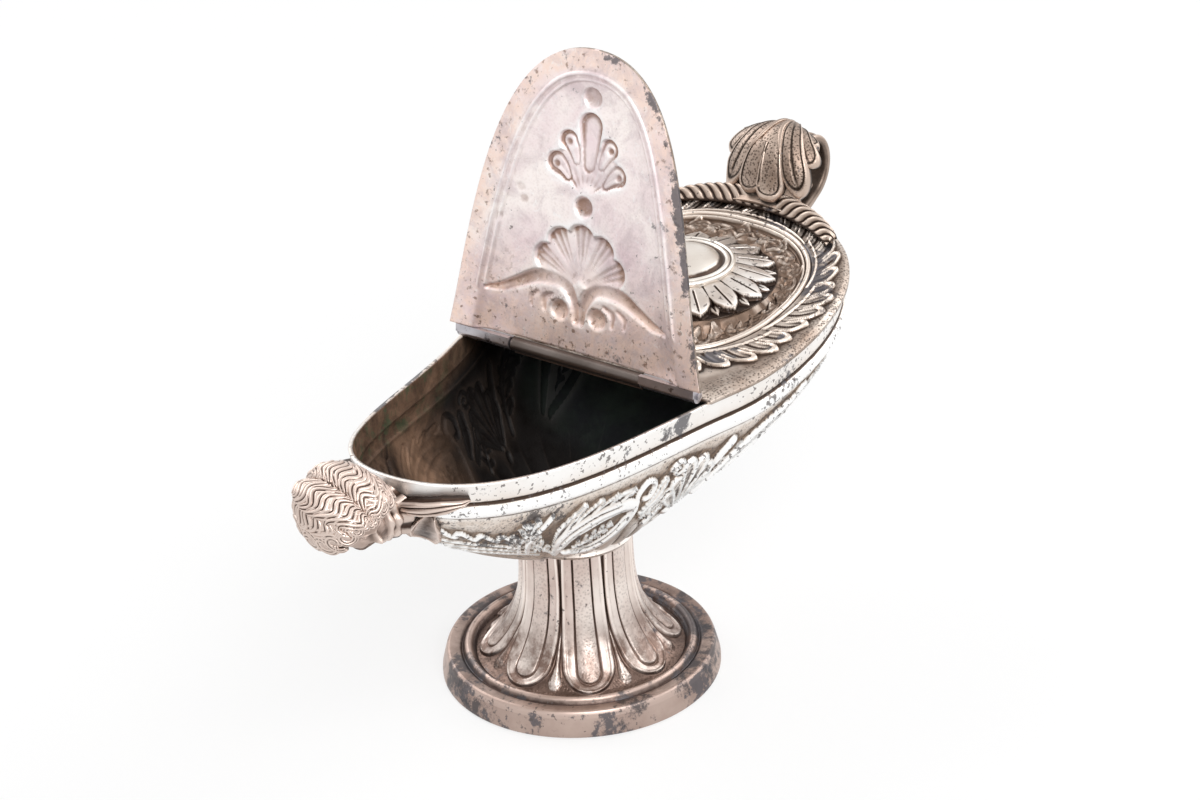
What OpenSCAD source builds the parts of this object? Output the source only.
// Incense boat: a footed silver boat with a hinged lid over its front half and a fixed deck over its rear.
// X runs from the prow (negative) to the stern, Y across, Z up. The origin is under the middle of the foot.

/* [Hull] */
// Distance from the foot axis forward to the prow tip
prow_reach = 66.5; // [60:0.5:75]
// Distance from the foot axis back to the stern tip
stern_reach = 84.5; // [78:0.5:92]
// Width of the hull across the hinge
hinge_w = 68.4; // [64:0.2:72]
// Greatest width of the hull
beam_w = 79.6; // [76:0.2:84]
// Where along X the hull is widest
beam_x = 37; // [34:0.5:40]
// Height of the rim at the hinge
rim_z = 76; // [72:0.5:80]
// How far the rim climbs from the hinge to the prow
prow_rise = 7.4; // [5:0.1:9]
// How far the rim climbs from the hinge to the stern
stern_rise = 7.7; // [5:0.1:9]
// Thickness of the hull sheet
wall = 1; // [0.8:0.1:1.4]
// Height of the plain band below the rim
band_h = 5.4; // [4:0.2:7]
// Height of the moulding below the plain band
moulding_h = 3.6; // [2.5:0.1:5]
// How far the moulding stands out
moulding_t = 1.2; // [0.6:0.1:1.6]
// How full the bowl section is: 1 is a straight cone, 2 is an ellipse
bowl_power = 1.3; // [1.15:0.05:1.8]

/* [Foot] */
// Height of the hull seat on top of the foot
seat_z = 38.5; // [36:0.5:42]
// Radius of the flat seat under the hull
seat_r = 13.6; // [13.2:0.1:15]
// Radius of the foot on the ground
foot_r = 33; // [31:0.5:36]
// Height of the side band of the foot
foot_band_h = 6.4; // [5:0.2:8]
// Radius where the fluted stem meets the foot ring
stem_base_r = 25; // [24:0.25:26.5]
// Radius of the stem under its collar
stem_top_r = 13; // [12:0.1:13.2]
// Thickness of the foot sheet
foot_wall = 1.1; // [0.8:0.1:1.6]
// Radius of the stud that holds the foot
stud_r = 3; // [2:0.25:3.5]
// Length of the stud below the hull
stud_len = 12; // [11:0.5:16]

/* [Lid and hinge] */
// Where the hinge axis lies along X
hinge_x = 4.6; // [2:0.2:8]
// Height of the hinge axis above the rim
hinge_up = 2.45; // [2.3:0.05:3]
// Outer radius of the hinge knuckles
knuckle_r = 1.65; // [1.4:0.05:1.8]
// Radius of the hinge pin
pin_r = 0.8; // [0.5:0.05:0.9]
// Length of each lid knuckle
lid_knuckle_len = 15; // [10:0.5:20]
// Angle of the open lid from closed
lid_open = 96; // [60:1:100]
// Thickness of the lid sheet
lid_t = 0.8; // [0.6:0.05:1.1]
// How far the lid reaches past the hull at its tip
lid_lip = 2; // [0.5:0.25:2.5]
// How far the lid reaches past the hull at its sides
lid_side_lip = 0.8; // [0.4:0.1:1.5]
// Width of the flat border of the lid
lid_border = 6; // [4:0.5:9]
// How far the middle of the lid is raised
lid_dome = 2.6; // [1.5:0.1:4]

/* [Deck] */
// Middle of the medallion along X
deck_cx = 47.5; // [45:0.5:49]
// Half length of the oval moulding on the deck
oval_a = 29.5; // [27:0.5:31]
// Half width of the oval moulding on the deck
oval_b = 28; // [26:0.5:31]
// Height of the medallion seat above the rim at its middle
table_up = 3; // [2:0.25:5]
// Radius of the medallion seat
table_r = 23; // [22.5:0.25:25]
// Radius of the petal tips
petal_r = 22; // [19:0.5:22.5]
// Number of petals
petals = 16; // [12:2:24]
// Radius of the boss
boss_r = 12.8; // [10:0.2:14]
// Height of the boss above the petals
boss_h = 3.4; // [2:0.2:6]
// Thickness of the deck sheet
deck_t = 1; // [0.8:0.1:1.4]

/* [Finials] */
// Half length across Y of the gadrooned crest
crest_half = 24; // [20:0.5:28]
// Height of the crest at its middle
crest_h = 4.2; // [2.5:0.1:5]
// Width of the scroll strap
scroll_w = 13; // [9:0.5:16]
// Radius of the scroll to the middle of its strap
scroll_r = 8.6; // [7.6:0.2:9.4]
// Thickness of the scroll strap at its root
scroll_t = 3; // [2:0.2:3.6]
// Width of the leaf on the scroll
leaf_w = 18; // [15:0.5:20]
// Radius of the head at the prow
head_r = 8.6; // [7:0.2:9.5]
// Height of the middle of the head above the prow rim
head_up = -2.6; // [-5:0.2:0]
// Thickness of the wings at the prow
wing_t = 1.6; // [1:0.1:2.2]
// How far the wings reach back from the prow tip
wing_len = 12; // [11:0.5:20]

/* [Hidden] */

// Clearances
solder_gap = 0.06;
lid_gap = 0.35;
pin_play = 0.05;
knuckle_gap = 0.3;
stud_play = 0.4;

// Facets of round pieces and of the lofted sheet
$fn = 96;
front_steps = 16;
mid_steps = 8;
aft_steps = 16;
bowl_steps = 9;

hinge_z = rim_z + hinge_up;
hinge_half = hinge_w / 2;
beam_half = beam_w / 2;

silver = "#cdc4bd";
warm_silver = "#b9a79c";
dark_silver = "#8f857d";

// Bezier curve through a and d, pulled towards b and c
function bezier(a, b, c, d, t) =
    (1 - t) ^ 3 * a + 3 * (1 - t) ^ 2 * t * b + 3 * (1 - t) * t ^ 2 * c + t ^ 3 * d;

// Height of the rim line
function rim(x) = x < hinge_x
    ? rim_z + prow_rise * ((hinge_x - x) / (hinge_x + prow_reach)) ^ 2
    : rim_z + stern_rise * ((x - hinge_x) / (stern_reach - hinge_x)) ^ 2;

// Slope of the hull outline where it passes the hinge
hinge_slope = 0.24;
// How far the outline curves follow their end tangents
prow_full = 0.79;
front_pull = 0.39;
mid_pull = 0.36;
beam_pull = 0.576;
aft_pull = 0.43;
stern_full = 0.85;

// Hull outline in plan on the positive Y side, moved outwards by e
function front_plan(e, steps = front_steps) =
    let (tip = -prow_reach - e, w = hinge_half + e, pull = front_pull * (hinge_x + prow_reach))
    [for (i = [0:steps]) bezier([tip, 0], [tip, prow_full * w],
        [hinge_x - pull, w - hinge_slope * pull], [hinge_x, w], i / steps)];
function mid_plan(e) =
    let (w = hinge_half + e, b = beam_half + e, run = beam_x - hinge_x, pull = mid_pull * run)
    [for (i = [1:mid_steps]) bezier([hinge_x, w], [hinge_x + pull, w + hinge_slope * pull],
        [beam_x - beam_pull * run, b], [beam_x, b], i / mid_steps)];
function aft_plan(e) =
    let (b = beam_half + e, tip = stern_reach + e)
    [for (i = [1:aft_steps]) bezier([beam_x, b], [beam_x + aft_pull * (tip - beam_x), b],
        [tip, stern_full * b], [tip, 0], i / aft_steps)];
function half_plan(e) = concat(front_plan(e), mid_plan(e), aft_plan(e));
half_n = front_steps + mid_steps + aft_steps;
ring_n = 2 * half_n;

// A half outline from tip to tip, closed by its mirror image
function closed_ring(half) = concat(half,
    [for (i = [len(half) - 2:-1:1]) [half[i].x, -half[i].y]]);
function plan(e) = closed_ring(half_plan(e));

// Hull levels from the rim down: share of the plan, drop below the rim, share of the height over the seat
bowl_drop = band_h + moulding_h;
band_share = 0.985;
bowl_share = 0.97;
function bowl_height(c) = 1 - (1 - c ^ bowl_power) ^ (1 / bowl_power);
levels = concat(
    [[1, 0, 1], [band_share, band_h, 1], [bowl_share, bowl_drop, 1]],
    [for (k = [bowl_steps - 1:-1:0])
        let (c = sin(90 * k / bowl_steps)) [bowl_share * c, bowl_drop, bowl_height(c)]]);
level_n = len(levels);

// Point of the hull skin over plan point p: below the band the section runs in to the round seat
function skin_point(p, level, r, z) =
    let (s = level[2] == 1 ? level[0] : level[0] / bowl_share, a = atan2(p.y, p.x),
         edge = level[2] == 1 ? level[0] : bowl_share,
         x = level[2] == 1 ? edge * p.x : r * cos(a) + s * (edge * p.x - r * cos(a)),
         y = level[2] == 1 ? edge * p.y : r * sin(a) + s * (edge * p.y - r * sin(a)))
    [x, y, z + (rim(p.x) - level[1] - z) * level[2]];
function skin_ring(e, level, r = seat_r, z = seat_z) = [for (p = plan(e)) skin_point(p, level, r, z)];

// Middle of a ring
function ring_middle(ring) = [for (p = ring) 1] * ring / len(ring);

// Solid through rings of equal length, each ring anticlockwise seen from the end that the loft starts at
module loft(rings) {
    n = len(rings[0]);
    m = len(rings);
    points = concat([for (ring = rings) each ring], [ring_middle(rings[0]), ring_middle(rings[m - 1])]);
    sides = [for (k = [0:m - 2], i = [0:n - 1])
        let (a = k * n + i, b = k * n + (i + 1) % n, c = a + n, d = b + n)
        each [[a, c, b], [b, c, d]]];
    start = [for (i = [0:n - 1]) [m * n, i, (i + 1) % n]];
    end = [for (i = [0:n - 1]) [m * n + 1, (m - 1) * n + (i + 1) % n, (m - 1) * n + i]];
    polyhedron(points, concat(start, sides, end), convexity = 8);
}

// Ring of a closed band: rings joined first to last
module closed_loft(rings) {
    n = len(rings[0]);
    m = len(rings);
    points = [for (ring = rings) each ring];
    sides = [for (k = [0:m - 1], i = [0:n - 1])
        let (q = (k + 1) % m, a = k * n + i, b = k * n + (i + 1) % n, c = q * n + i, d = q * n + (i + 1) % n)
        each [[a, c, b], [b, c, d]]];
    polyhedron(points, sides, convexity = 8);
}

// Chased scrolls and leaves on the hull sides: half width, then a spine whose points are hundredths of the
// rim from prow to stern and hundredths of the bowl wall from the moulding down to the seat
chasing = [
    [2.6, [[18.5, 53], [22, 34], [27, 26], [31.5, 25], [34.5, 30]]],
    [2.2, [[21, 61], [26, 68], [31.5, 61], [34.5, 43]]],
    [1.8, [[18, 50], [16, 30], [16.5, 14]]],
    [1.5, [[37.5, 47], [39, 35], [40, 20]]],
    [2, [[44.5, 58], [42, 29]]],
    [2.1, [[46, 56], [45.5, 14]]],
    [2.1, [[47.5, 54], [48.5, 16]]],
    [2, [[49, 39], [51, 14]]],
    [2.4, [[51, 53], [53, 27], [57, 16], [63, 12]]],
    [2.6, [[62.5, 52], [66, 29], [71, 17], [75.5, 14], [79, 15]]],
    [2.2, [[64.5, 55], [70.5, 47], [75.5, 34], [79, 22]]],
    [2.2, [[89, 31], [86, 16]]],
    [2.3, [[90.5, 31], [89.5, 12]]],
    [2.3, [[92, 30], [93, 12]]],
    [2.2, [[97.5, 44], [97, 30], [98.5, 17]]]];
// Height of a chased line over the wall, depth of its root in the wall, and share of its size at its ends
chased_up = 1.3;
chased_root = 0.4;
chased_end = 0.5;
// Section of a chased line: shares of its half width and of its height
chased_section = [[-1, 0.1], [-0.6, 0.8], [0, 1], [0.6, 0.8], [1, 0.1]];

// Distance along a line to each of its points, and the point at a distance
function runs(line, i = 0, run = 0) = i == len(line) - 1 ? [run]
    : concat([run], runs(line, i + 1, run + norm(line[i + 1] - line[i])));
function at_run(line, d) = let (r = runs(line))
    [for (c = [0:len(line[0]) - 1]) lookup(d, [for (i = [0:len(line) - 1]) [r[i], line[i][c]]])];
function run_length(line) = let (r = runs(line)) r[len(r) - 1];
rim_half = half_plan(0);
rim_run = run_length(rim_half);
bowl_levels = [for (level = levels) if (level[1] == bowl_drop) level];
// Bowl wall from the moulding down to the seat, at a distance along the rim, and a point of it
function wall_line(d) = let (p = at_run(rim_half, d))
    [for (level = bowl_levels) skin_point(p, level, seat_r, seat_z)];
function wall_at(q) = at_run(wall_line(q.x), q.y);
function wall_out(q) =
    let (along = wall_at(q + [1, 0]) - wall_at(q - [1, 0]), down = wall_at(q + [0, 1]) - wall_at(q - [0, 1]),
         out = cross(along, down))
    out / norm(out);
function on_wall(q) = let (d = q.x / 100 * rim_run) [d, q.y / 100 * run_length(wall_line(d))];
function chased_ring(line, w, k) =
    let (step = line[min(k + 1, len(line) - 1)] - line[max(k - 1, 0)], side = [step.y, -step.x] / norm(step),
         h = k == 0 || k == len(line) - 1 ? chased_end : 1, out = wall_out(line[k]))
    concat([for (q = chased_section) wall_at(line[k] + q[0] * h * w * side) + q[1] * h * chased_up * out],
           [for (q = [1, -1]) wall_at(line[k] + q * h * w * side) - chased_root * out]);

module chased_line(w, spine) {
    line = [for (q = spine) on_wall(q)];
    loft([for (k = [0:len(line) - 1]) chased_ring(line, w, k)]);
}

module hull() {
    inner = [for (k = [level_n - 1:-1:0]) skin_ring(-wall, levels[k], seat_r - wall, seat_z + wall)];
    outer = [for (level = levels) skin_ring(0, level)];
    color(silver) union() {
        loft(concat(inner, outer));
        for (c = chasing, side = [0, 1]) mirror([0, side, 0]) chased_line(c[0], c[1]);
    }
}

// Moulding below the plain band: trim of its edges and depth of its shoulder, as shares
moulding_trim = 0.1;
moulding_shoulder = 0.75;

module rim_moulding() {
    edge = band_share;
    mid = (band_share + bowl_share) / 2;
    trim = moulding_trim * moulding_h;
    shoulder = solder_gap + moulding_shoulder * moulding_t;
    color(silver) closed_loft([
        skin_ring(solder_gap, [edge, band_h + trim, 1]),
        skin_ring(shoulder, [mid, band_h + 1.5 * trim, 1]),
        skin_ring(solder_gap + moulding_t, [mid, band_h + moulding_h / 2, 1]),
        skin_ring(shoulder, [mid, bowl_drop - 1.5 * trim, 1]),
        skin_ring(solder_gap, [edge, bowl_drop - trim, 1])]);
}

// Deck
deck_front = hinge_x + knuckle_r + knuckle_gap;
deck_lip = 0.7;
edge_up = 0.9;
band_up = 1.6;
table_z = rim(deck_cx) + table_up;
front_cells = 4;
min_cell = 0.5;
oval_power = 2.4;

function deck_half() =
    let (all = half_plan(deck_lip), rear = [for (p = all) if (p.x > deck_front + min_cell) p],
         corner = lookup(deck_front, all))
    concat([for (i = [0:front_cells]) [deck_front, corner * i / front_cells]], rear);
deck_edge = closed_ring(deck_half());

// Point of the deck moulding in the direction of p from the medallion's middle
function oval_point(p, a, b, power) =
    let (t = atan2(p.y, p.x - deck_cx),
         r = (abs(cos(t) / a) ^ power + abs(sin(t) / b) ^ power) ^ (-1 / power))
    [deck_cx + r * cos(t), r * sin(t)];
// Ring between the deck edge (share 0) and the oval moulding (share 1), at a height over the rim line
function border_ring(share, up, leaf = 0) = [for (j = [0:len(deck_edge) - 1])
    let (p = deck_edge[j], q = (1 - share) * p + share * oval_point(p, oval_a, oval_b, oval_power))
    [q.x, q.y, rim(q.x) + up + leaf * border_leaf(j)]];
function inner_ring(k, up) = [for (p = deck_edge)
    let (q = oval_point(p, k * oval_a, k * oval_b, oval_power)) [q.x, q.y, rim(q.x) + up]];
function round_ring(r, z) = [for (p = deck_edge)
    let (q = oval_point(p, r, r, 2)) [q.x, q.y, z]];

// Leaves on the border: number on each side of the boat, rise over the border
border_leaves = 7;
border_leaf_up = 0.7;
oval_half = [for (p = deck_half()) oval_point(p, oval_a, oval_b, oval_power)];
function oval_run(i) = i == 0 ? 0 : oval_run(i - 1) + norm(oval_half[i] - oval_half[i - 1]);
oval_runs = [for (i = [0:len(oval_half) - 1]) oval_run(i)];
function border_leaf(j) =
    let (i = min(j, len(deck_edge) - j), share = border_leaves * oval_runs[i] / oval_runs[len(oval_runs) - 1])
    border_leaf_up * sin(180 * (share - floor(share)));
// Deck section: share of the way from edge to oval moulding, height over the rim line, share of the leaves
deck_over = [[0, edge_up, 0], [0.12, band_up, 0], [0.28, band_up - 0.1, 0], [0.4, 1.1, 0.8], [0.62, 1, 1],
             [0.88, 1.1, 0.8], [0.92, 1.1, 0], [1, band_up + 0.4, 0]];
deck_under = [[0.62, 0.05], [0.25, solder_gap], [0, solder_gap]];
// Sunken panel inside the oval moulding: shares of the oval at its edge and fall, height over the rim
panel_edge = 0.93;
panel_fall = 0.9;
panel_up = 0.7;

module deck() {
    table = round_ring(table_r - deck_t, table_z - deck_t);
    under = concat([table, inner_ring(panel_fall, panel_up - deck_t)],
        [for (q = deck_under) border_ring(q[0], q[1])]);
    over = concat([for (q = deck_over) border_ring(q[0], q[1], q[2])],
        [inner_ring(panel_edge, panel_up), inner_ring(panel_fall, panel_up), round_ring(table_r, table_z)]);
    color(warm_silver) loft(concat(under, over));
}

// Medallion on the deck: petals round a plain boss
petal_z = table_z + solder_gap;
petal_edge_t = 0.8;
petal_root_t = 3.2;
boss_seat_w = 0.6;
boss_seat_r = boss_r + boss_seat_w;
// Petal outline: root inside the boss seat, share of the free width, shares at neck and shoulder, point
petal_root_in = 1;
petal_full = 0.92;
petal_neck = 0.6;
petal_shoulder = 0.45;
petal_point = 1.5;

module petal_outline() {
    root = boss_seat_r - petal_root_in;
    belly = root + petal_shoulder * (petal_r - root);
    half_w = petal_r * sin(180 / petals) * petal_full;
    neck_w = half_w * petal_neck;
    tip_w = half_w * petal_shoulder;
    polygon([[root, -neck_w], [belly, -half_w], [petal_r - petal_point, -tip_w], [petal_r, 0],
             [petal_r - petal_point, tip_w], [belly, half_w], [root, neck_w]]);
}

module petal_ring() {
    color(silver) translate([deck_cx, 0, petal_z]) intersection() {
        rotate_extrude() polygon([[0, 0], [petal_r + 1, 0], [petal_r + 1, petal_edge_t],
                                  [boss_seat_r, petal_root_t], [0, petal_root_t]]);
        linear_extrude(petal_root_t + 1) union() {
            circle(r = boss_seat_r);
            for (k = [0:petals - 1]) rotate(360 * k / petals) petal_outline();
        }
    }
}

boss_z = petal_z + petal_root_t + solder_gap;
boss_rim_w = 2.2;
boss_rim_h = 1.3;

module deck_boss() {
    dome_r = boss_r - boss_rim_w;
    dome_up = boss_h - boss_rim_h;
    sphere_r = (dome_r ^ 2 + dome_up ^ 2) / (2 * dome_up);
    color(silver) translate([deck_cx, 0, boss_z]) union() {
        cylinder(r = boss_r - boss_rim_h / 2, h = boss_rim_h);
        rotate_extrude() translate([boss_r - boss_rim_h / 2, boss_rim_h / 2])
            circle(d = boss_rim_h, $fn = 32);
        intersection() {
            translate([0, 0, boss_h - sphere_r]) sphere(r = sphere_r);
            cylinder(r = dome_r, h = boss_h + 1);
        }
    }
}

// Crest on the stern edge of the deck
crest_back = 0.9;
crest_depth = 4.4;
crest_cells = 16;
crest_end_h = 0.8;
// Crest section from its back foot over the top: shares of its depth and height
crest_section = [[0, 0], [-0.05, 0.6], [0.25, 1], [0.6, 0.85], [0.9, 0.3], [1, 0]];
stern_half = [for (p = aft_plan(deck_lip)) [p.y, p.x]];
stern_table = [for (i = [len(stern_half) - 1:-1:0]) stern_half[i]];
function stern_x(y) = lookup(abs(y), stern_table);
function crest_height(y) =
    crest_end_h + (crest_h - crest_end_h) * sqrt(max(0, cos(90 * y / crest_half)));

module stern_crest() {
    rings = [for (k = [0:crest_cells])
        let (y = crest_half * (2 * k / crest_cells - 1), x = stern_x(y), h = crest_height(y),
             z = rim(x) + band_up + solder_gap)
        [for (q = crest_section) [x - crest_back - q[0] * crest_depth, y, z + q[1] * h]]];
    color(silver) loft(rings);
}

// Scroll finial: a strap that springs from the stern wall, sweeps back and curls forward over the crest
scroll_back = 10;
scroll_lift = 7.6;
scroll_cx = stern_reach + deck_lip + scroll_back;
scroll_cz = rim(stern_reach) + scroll_lift;
curl_start = -70;
curl_end = 290;
curl_steps = 24;
root_steps = 8;
path_n = root_steps + curl_steps + 1;
// How much the curl draws in and the strap thins towards its end
curl_tighten = 0.38;
strap_taper = 0.45;
function curl_share(a) = (a - curl_start) / (curl_end - curl_start);
function curl_r(a) = scroll_r * (1 - curl_tighten * curl_share(a));
function curl_point(a) = [scroll_cx + curl_r(a) * cos(a), scroll_cz + curl_r(a) * sin(a)];
function strap_half(i) = scroll_t / 2 * (1 - strap_taper * i / path_n);

// Pad of the strap on the stern wall
pad_low = band_h - 0.3;
pad_top = 0.8;
root_up = 0.7;
root_gap = 0.3;
root_pull = [2.5, 1.5];
curl_pull = 5;
scroll_root = [stern_reach + deck_lip + root_gap + scroll_t / 2, rim(stern_reach) - pad_low + root_up];
curl_first = curl_point(curl_start);
scroll_path = concat(
    [for (i = [0:root_steps - 1]) bezier(scroll_root, scroll_root + root_pull,
        curl_first - curl_pull * [-sin(curl_start), cos(curl_start)], curl_first, i / root_steps)],
    [for (i = [0:curl_steps]) curl_point(curl_start + (curl_end - curl_start) * i / curl_steps)]);
function path_normal(i) =
    let (d = scroll_path[min(i + 1, path_n - 1)] - scroll_path[max(i - 1, 0)]) [-d.y, d.x] / norm(d);
// Outside of the stern wall at a drop below the rim, with room for solder
function stern_wall(drop) = stern_reach * (1 - (1 - band_share) * drop / band_h) + solder_gap;

module scroll() {
    low = rim(stern_reach) - pad_low;
    top = rim(stern_reach) - pad_top;
    color(warm_silver) rotate([90, 0, 0]) translate([0, 0, -scroll_w / 2]) linear_extrude(scroll_w) union() {
        polygon(concat(
            [for (i = [0:path_n - 1]) scroll_path[i] - strap_half(i) * path_normal(i)],
            [for (i = [path_n - 1:-1:0]) scroll_path[i] + strap_half(i) * path_normal(i)]));
        polygon([[stern_wall(pad_low), low], [scroll_root.x, low], [scroll_root.x, top],
                 [stern_wall(pad_top), top]]);
    }
}

// Leaf laid over the curl, from its top forward and down: its tip stands off the curl
leaf_t = 1.6;
leaf_thin = 0.4;
leaf_from = 50;
leaf_to = 195;
leaf_cells = 14;
leaf_tip_out = 1.6;
leaf_seat = 0.15;
leaf_rib = 0.5;
leaf_root_share = 0.3;
function leaf_half(s) = leaf_w / 2 * (leaf_root_share + (1 - leaf_root_share) * sin(180 * (0.04 + 0.84 * s)));
function strap_top(a) = curl_r(a) + strap_half(root_steps + curl_steps * curl_share(a)) + solder_gap;

module scroll_leaf() {
    color(dark_silver) loft([for (k = [0:leaf_cells])
        let (s = k / leaf_cells, a = leaf_from + (leaf_to - leaf_from) * s, w = leaf_half(s),
             low = strap_top(a) + leaf_seat + leaf_tip_out * s ^ 3, top = low + leaf_t * (1 - leaf_thin * s),
             edge = top - leaf_thin, rib = top + leaf_rib)
        [for (q = [[low, -1], [low, 1], [edge, 1], [rib, 0.45], [top, 0], [rib, -0.45], [edge, -1]])
            [scroll_cx + q[0] * cos(a), q[1] * w, scroll_cz + q[0] * sin(a)]]]);
}

// Prow: a winged head on a collar
head_gap = 2.6;
head_x = -prow_reach - lid_lip - head_gap - head_r;
head_z = rim(-prow_reach) + head_up;
collar_r = 4.2;
collar_drop = 6.2;
collar_clear = 0.1;
collar_x = -prow_reach * band_share - moulding_t - collar_clear;
// Hair curls: turn from the front, climb, on a ball sunk into the head
curls = [[20, 60], [-20, 60], [60, 50], [-60, 50], [100, 45], [-100, 45], [140, 40], [-140, 40],
         [75, 10], [-75, 10], [110, 5], [-110, 5], [180, 55], [0, 88]];
curl_ball = 3.1;
curl_sink = 1.4;
nose_r = 1.3;
nose_sink = 0.4;
nose_climb = 12;

module head_ball(turn, climb, r, sink) {
    rotate([0, -climb, 180 + turn]) translate([head_r - sink, 0, 0]) sphere(r = r, $fn = 32);
}

module prow_head() {
    color(warm_silver) translate([head_x, 0, head_z]) difference() {
        union() {
            sphere(r = head_r);
            for (c = curls) head_ball(c[0], c[1], curl_ball, curl_sink);
            head_ball(0, nose_climb, nose_r, nose_sink);
        }
        translate([0, 0, -collar_drop]) rotate([0, 90, 0])
            cylinder(r = collar_r + solder_gap, h = 2 * head_r + curl_ball);
    }
}

module prow_collar() {
    color(warm_silver) translate([head_x, 0, head_z - collar_drop]) rotate([0, 90, 0])
        cylinder(r = collar_r, h = collar_x - head_x);
}

// Wings on the hull sides behind the head: drops of their edges below the rim, at the head and at the tip
wing_head_drop = 2.5;
wing_tip_drop = 7;
wing_deep = 8;
wing_shallow = 1;
wing_least = 1.5;
wing_edge_t = 0.6;
wing_clear = 0.1;
wing_off = solder_gap + moulding_t + wing_clear;
wing_last = max([for (k = [1:front_steps]) if (front_plan(wing_off)[k].x < wing_len - prow_reach) k]);
function wing_index(side, k) = side > 0 ? k : (ring_n - k) % ring_n;
function wing_point(p, drop, share = 1) = skin_point(p, [share, drop, 1], seat_r, seat_z);

module wing(side) {
    inner = plan(wing_off);
    outer = plan(wing_off + wing_t);
    thin = plan(wing_off + wing_edge_t);
    rings = [for (k = [1:wing_last])
        let (i = wing_index(side, k), s = (k / wing_last) ^ 2,
             top = wing_head_drop + (wing_tip_drop - wing_head_drop) * s,
             low = max(band_h + wing_deep - (wing_deep + wing_shallow) * s, top + wing_least))
        [wing_point(inner[i], top), wing_point(inner[i], low, band_share),
         wing_point(thin[i], low, band_share), wing_point(outer[i], (top + low) / 2),
         wing_point(thin[i], top)]];
    color(silver) loft(side > 0 ? rings : [for (k = [len(rings) - 1:-1:0]) rings[k]]);
}

module wing_starboard() {
    wing(1);
}

module wing_port() {
    wing(-1);
}

// Lid
lid_edge_x = hinge_x - knuckle_r - knuckle_gap;
lid_scale = (lid_edge_x + prow_reach + lid_lip) / (hinge_x + prow_reach);
lid_mid = 0.42;
lid_cx = lid_edge_x - lid_mid * (lid_edge_x + prow_reach);
hinge_cells = 6;
lid_half = [for (p = front_plan(0))
    [lid_edge_x - (hinge_x - p.x) * lid_scale, p.y * (1 + lid_side_lip / hinge_half)]];
lid_edge = concat(
    [for (i = [front_steps:-1:1]) lid_half[i]],
    [for (i = [0:front_steps]) [lid_half[i].x, -lid_half[i].y]],
    [for (i = [1:hinge_cells - 1]) [lid_edge_x, lid_half[front_steps].y * (2 * i / hinge_cells - 1)]]);
// Ring of the lid moved inwards by a border width, with a height over the rim line
function lid_ring(inset, up) = [for (p = lid_edge)
    let (v = p - [lid_cx, 0], q = [lid_cx, 0] + v * (1 - inset / norm(v)))
    [q.x, q.y, rim(q.x) + lid_gap + up]];
function lid_disc(k, up) = [for (p = lid_edge)
    let (q = [lid_cx, 0] + k * (p - [lid_cx, 0])) [q.x, q.y, rim(q.x) + lid_gap + up]];

module open_lid() {
    translate([hinge_x, 0, hinge_z]) rotate([0, lid_open, 0]) translate([-hinge_x, 0, -hinge_z]) children();
}

// Dome of the lid: share of its rise at distances inside the flat border, then at shares of the outline
lid_slope = [[1.5, 0.45], [5, 0.8]];
lid_crown = [[0.4, 0.95], [0.12, 1]];
function dome_rings(t) = concat([lid_ring(0, t), lid_ring(lid_border, t)],
    [for (q = lid_slope) lid_ring(lid_border + q[0], q[1] * lid_dome + t)],
    [for (q = lid_crown) lid_disc(q[0], q[1] * lid_dome + t)]);

module lid() {
    under = dome_rings(0);
    color(warm_silver) open_lid()
        loft(concat([for (k = [len(under) - 1:-1:0]) under[k]], dome_rings(lid_t)));
}

// Hinge: two lid knuckles outside one deck knuckle, on a pin
hinge_len = hinge_w - 2 * wall;
deck_knuckle_len = hinge_len - 2 * lid_knuckle_len - 2 * knuckle_gap;
pin_end = 0.4;

module along_hinge(from, len, r) {
    translate([hinge_x, from, hinge_z]) rotate([-90, 0, 0]) cylinder(r = r, h = len);
}

module lid_knuckle(from) {
    difference() {
        union() {
            along_hinge(from, lid_knuckle_len, knuckle_r);
            translate([lid_edge_x + solder_gap, from, rim_z + lid_gap])
                cube([hinge_x - lid_edge_x - solder_gap, lid_knuckle_len, hinge_up - lid_gap]);
        }
        along_hinge(from - 1, lid_knuckle_len + 2, pin_r + pin_play);
        translate([lid_edge_x - 1, from - 1, hinge_z - 0.5 * knuckle_r])
            cube([1 + knuckle_gap + 0.05 * knuckle_r, lid_knuckle_len + 2, 2 * knuckle_r]);
    }
}

module lid_knuckles() {
    color(silver) open_lid() union() {
        lid_knuckle(-hinge_len / 2);
        lid_knuckle(hinge_len / 2 - lid_knuckle_len);
    }
}

module deck_knuckle() {
    from = -deck_knuckle_len / 2;
    color(silver) difference() {
        union() {
            along_hinge(from, deck_knuckle_len, knuckle_r);
            translate([hinge_x, from, rim_z + solder_gap])
                cube([deck_front - hinge_x - solder_gap, deck_knuckle_len, edge_up]);
            translate([hinge_x, from, rim_z + solder_gap]) cube([knuckle_r, deck_knuckle_len, hinge_up]);
        }
        along_hinge(from - 1, deck_knuckle_len + 2, pin_r + pin_play);
    }
}

module hinge_pin() {
    color(dark_silver) along_hinge(-hinge_len / 2 - pin_end, hinge_len + 2 * pin_end, pin_r);
}

// Foot
stem_plate_t = 1.5;
collar_h = 2.2;
stem_top_z = seat_z - solder_gap;
ledge_t = 1.2;
ledge_drop = 1.4;
ledge_z = foot_band_h - ledge_drop;
ledge_w = 3;

// Flare of the stem: radius share of the spread at a share of the height
stem_flare = 4;
function stem_r(s) = stem_top_r + (stem_base_r - stem_top_r) * (1 - s) ^ stem_flare;
stem_foot_z = ledge_z + solder_gap;
stem_steps = 18;
function stem_side(inset, from, to) = [for (i = [0:stem_steps])
    let (z = from + (to - from) * i / stem_steps, s = (z - stem_foot_z) / (stem_top_z - stem_foot_z))
    [stem_r(s) - inset, z]];

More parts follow.
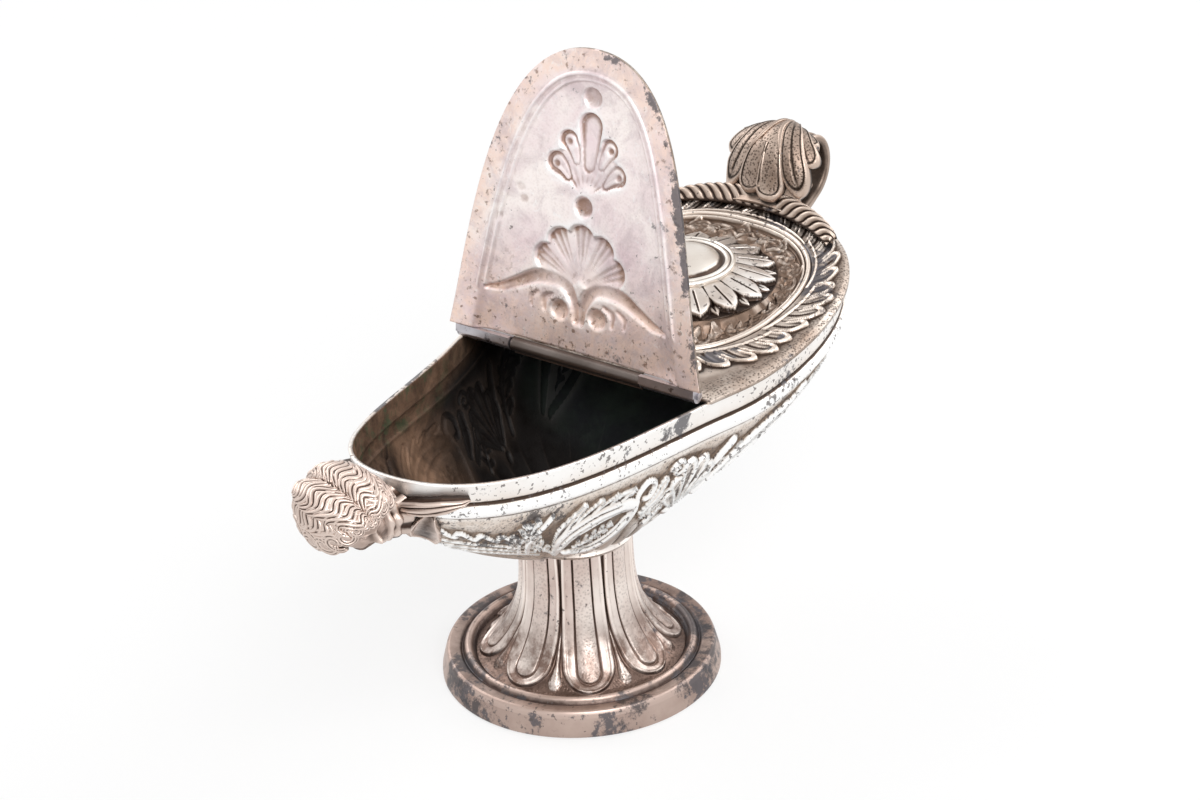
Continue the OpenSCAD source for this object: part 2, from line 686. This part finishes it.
module foot_stem() {
    inner_top = stem_top_z - stem_plate_t;
    outside = stem_side(solder_gap, stem_foot_z + ledge_t, stem_top_z);
    inside = stem_side(2.2 * foot_wall, stem_foot_z, inner_top);
    color(warm_silver) rotate_extrude() polygon(concat(
        [[stem_base_r - solder_gap, stem_foot_z]], outside,
        [[stud_r + stud_play, stem_top_z], [stud_r + stud_play, inner_top]],
        [for (i = [stem_steps:-1:0]) inside[i]]));
}

// Steps on top of the foot ring, from the stem outwards: share of the way to the edge, height over the band
ring_steps = [[0.09, 0.2], [0.21, 0.9], [0.35, 0.6], [0.45, -0.8], [0.55, -0.1]];
ring_under = 0.3;
foot_batter = 1.4;
foot_bevel = 0.4;
foot_kerb = 1.2;

module foot_band() {
    top_r = foot_r - foot_batter;
    top_w = top_r - stem_base_r;
    color(warm_silver) rotate_extrude() polygon(concat(
        [[foot_r, 0], [foot_r, foot_kerb], [top_r + foot_bevel, foot_band_h - 1.5 * foot_bevel],
         [top_r - foot_bevel, foot_band_h]],
        [for (k = [len(ring_steps) - 1:-1:0])
            [stem_base_r + ring_steps[k][0] * top_w, foot_band_h + ring_steps[k][1]]],
        [[stem_base_r, ledge_z + ledge_t], [stem_base_r, ledge_z], [stem_base_r - ledge_w, ledge_z],
         [stem_base_r - ledge_w, ledge_z - ledge_t], [stem_base_r + ring_under * top_w, ledge_z - ledge_t],
         [top_r - foot_bevel - foot_wall, foot_band_h - 1.5 * foot_bevel - foot_wall],
         [foot_r - 2 * foot_wall, 0]]));
}

// Section of the stem collar: distance out from the stem, share of the collar's height below the seat
collar_section = [[0, 1], [0.7, 1], [1.3, 0.6], [0.9, 0.3], [1, 0], [0, 0]];

module stem_collar() {
    r = stem_top_r + solder_gap;
    color(silver) rotate_extrude() polygon([for (q = collar_section)
        [r + q[0], seat_z - solder_gap - q[1] * collar_h]]);
}

washer_t = 1;
nut_t = 4.4;
nut_r = 5.6;
washer_r = 7;
washer_z = stem_top_z - stem_plate_t - washer_t - solder_gap;
nut_z = washer_z - nut_t - solder_gap;

module hull_stud() {
    color(dark_silver) translate([0, 0, seat_z - stud_len]) cylinder(r = stud_r, h = stud_len - solder_gap);
}

module foot_washer() {
    color(dark_silver) translate([0, 0, washer_z]) difference() {
        cylinder(r = washer_r, h = washer_t);
        translate([0, 0, -1]) cylinder(r = stud_r + stud_play, h = washer_t + 2);
    }
}

module foot_nut() {
    color(dark_silver) translate([0, 0, nut_z]) difference() {
        cylinder(r = nut_r, h = nut_t, $fn = 6);
        translate([0, 0, -1]) cylinder(r = stud_r + pin_play, h = nut_t + 2);
    }
}

hull();
rim_moulding();
deck();
petal_ring();
deck_boss();
stern_crest();
scroll();
scroll_leaf();
prow_head();
prow_collar();
wing_port();
wing_starboard();
lid();
lid_knuckles();
deck_knuckle();
hinge_pin();
foot_stem();
foot_band();
stem_collar();
hull_stud();
foot_washer();
foot_nut();
